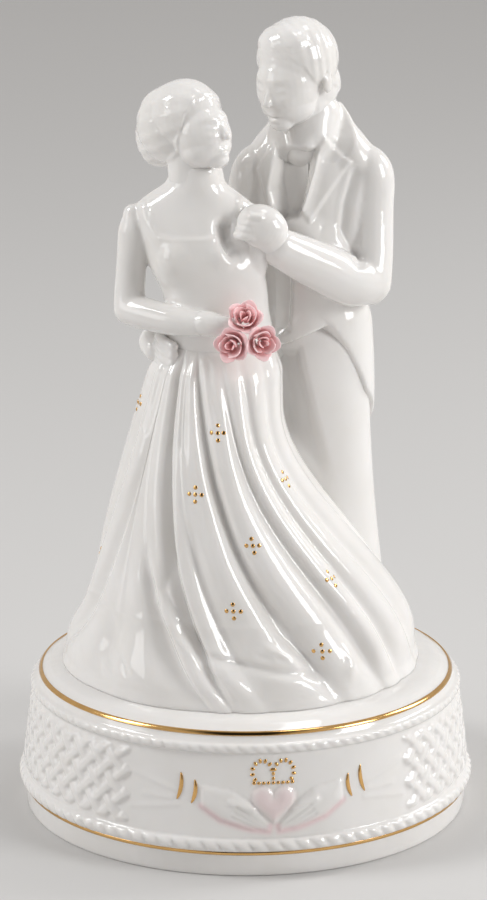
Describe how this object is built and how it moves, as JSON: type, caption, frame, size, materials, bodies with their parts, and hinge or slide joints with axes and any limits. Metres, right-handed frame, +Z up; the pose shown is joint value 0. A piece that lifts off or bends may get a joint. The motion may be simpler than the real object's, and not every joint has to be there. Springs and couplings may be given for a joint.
{
  "type": "wedding cake topper",
  "caption": "Glazed porcelain bride and groom standing together on a hollow round drum base, with a small bouquet of pink roses and gilt trim.",
  "frame": {"origin": "centre of the drum's foot, on the surface it stands on", "axes": "+Z up along the drum's axis, -Y towards the couple's front"},
  "size_m": [0.1082, 0.1082, 0.1863],
  "materials": {
    "porcelain": "glossy white glaze with fired gold lines and dots",
    "petals": "pink stained porcelain with a thin glaze"
  },
  "bodies": {
    "root": {"base_drum": "porcelain", "bride_skirt": "porcelain", "bride_bodice": "porcelain", "bride_head": "porcelain", "bride_right_sleeve": "porcelain", "bride_right_forearm": "porcelain", "bride_right_hand": "porcelain", "bride_left_sleeve": "porcelain", "bride_left_forearm": "porcelain", "groom_trousers": "porcelain", "groom_coat": "porcelain", "groom_coat_tails": "porcelain", "groom_head": "porcelain", "groom_left_sleeve": "porcelain", "groom_left_forearm": "porcelain", "groom_left_hand": "porcelain", "groom_right_sleeve": "porcelain", "groom_right_forearm": "porcelain", "groom_right_hand": "porcelain", "rose_top_outer_petals": "petals", "rose_top_inner_petals": "petals", "rose_top_bud": "petals", "rose_left_outer_petals": "petals", "rose_left_inner_petals": "petals", "rose_left_bud": "petals", "rose_right_outer_petals": "petals", "rose_right_inner_petals": "petals", "rose_right_bud": "petals"}
  },
  "joints": []
}
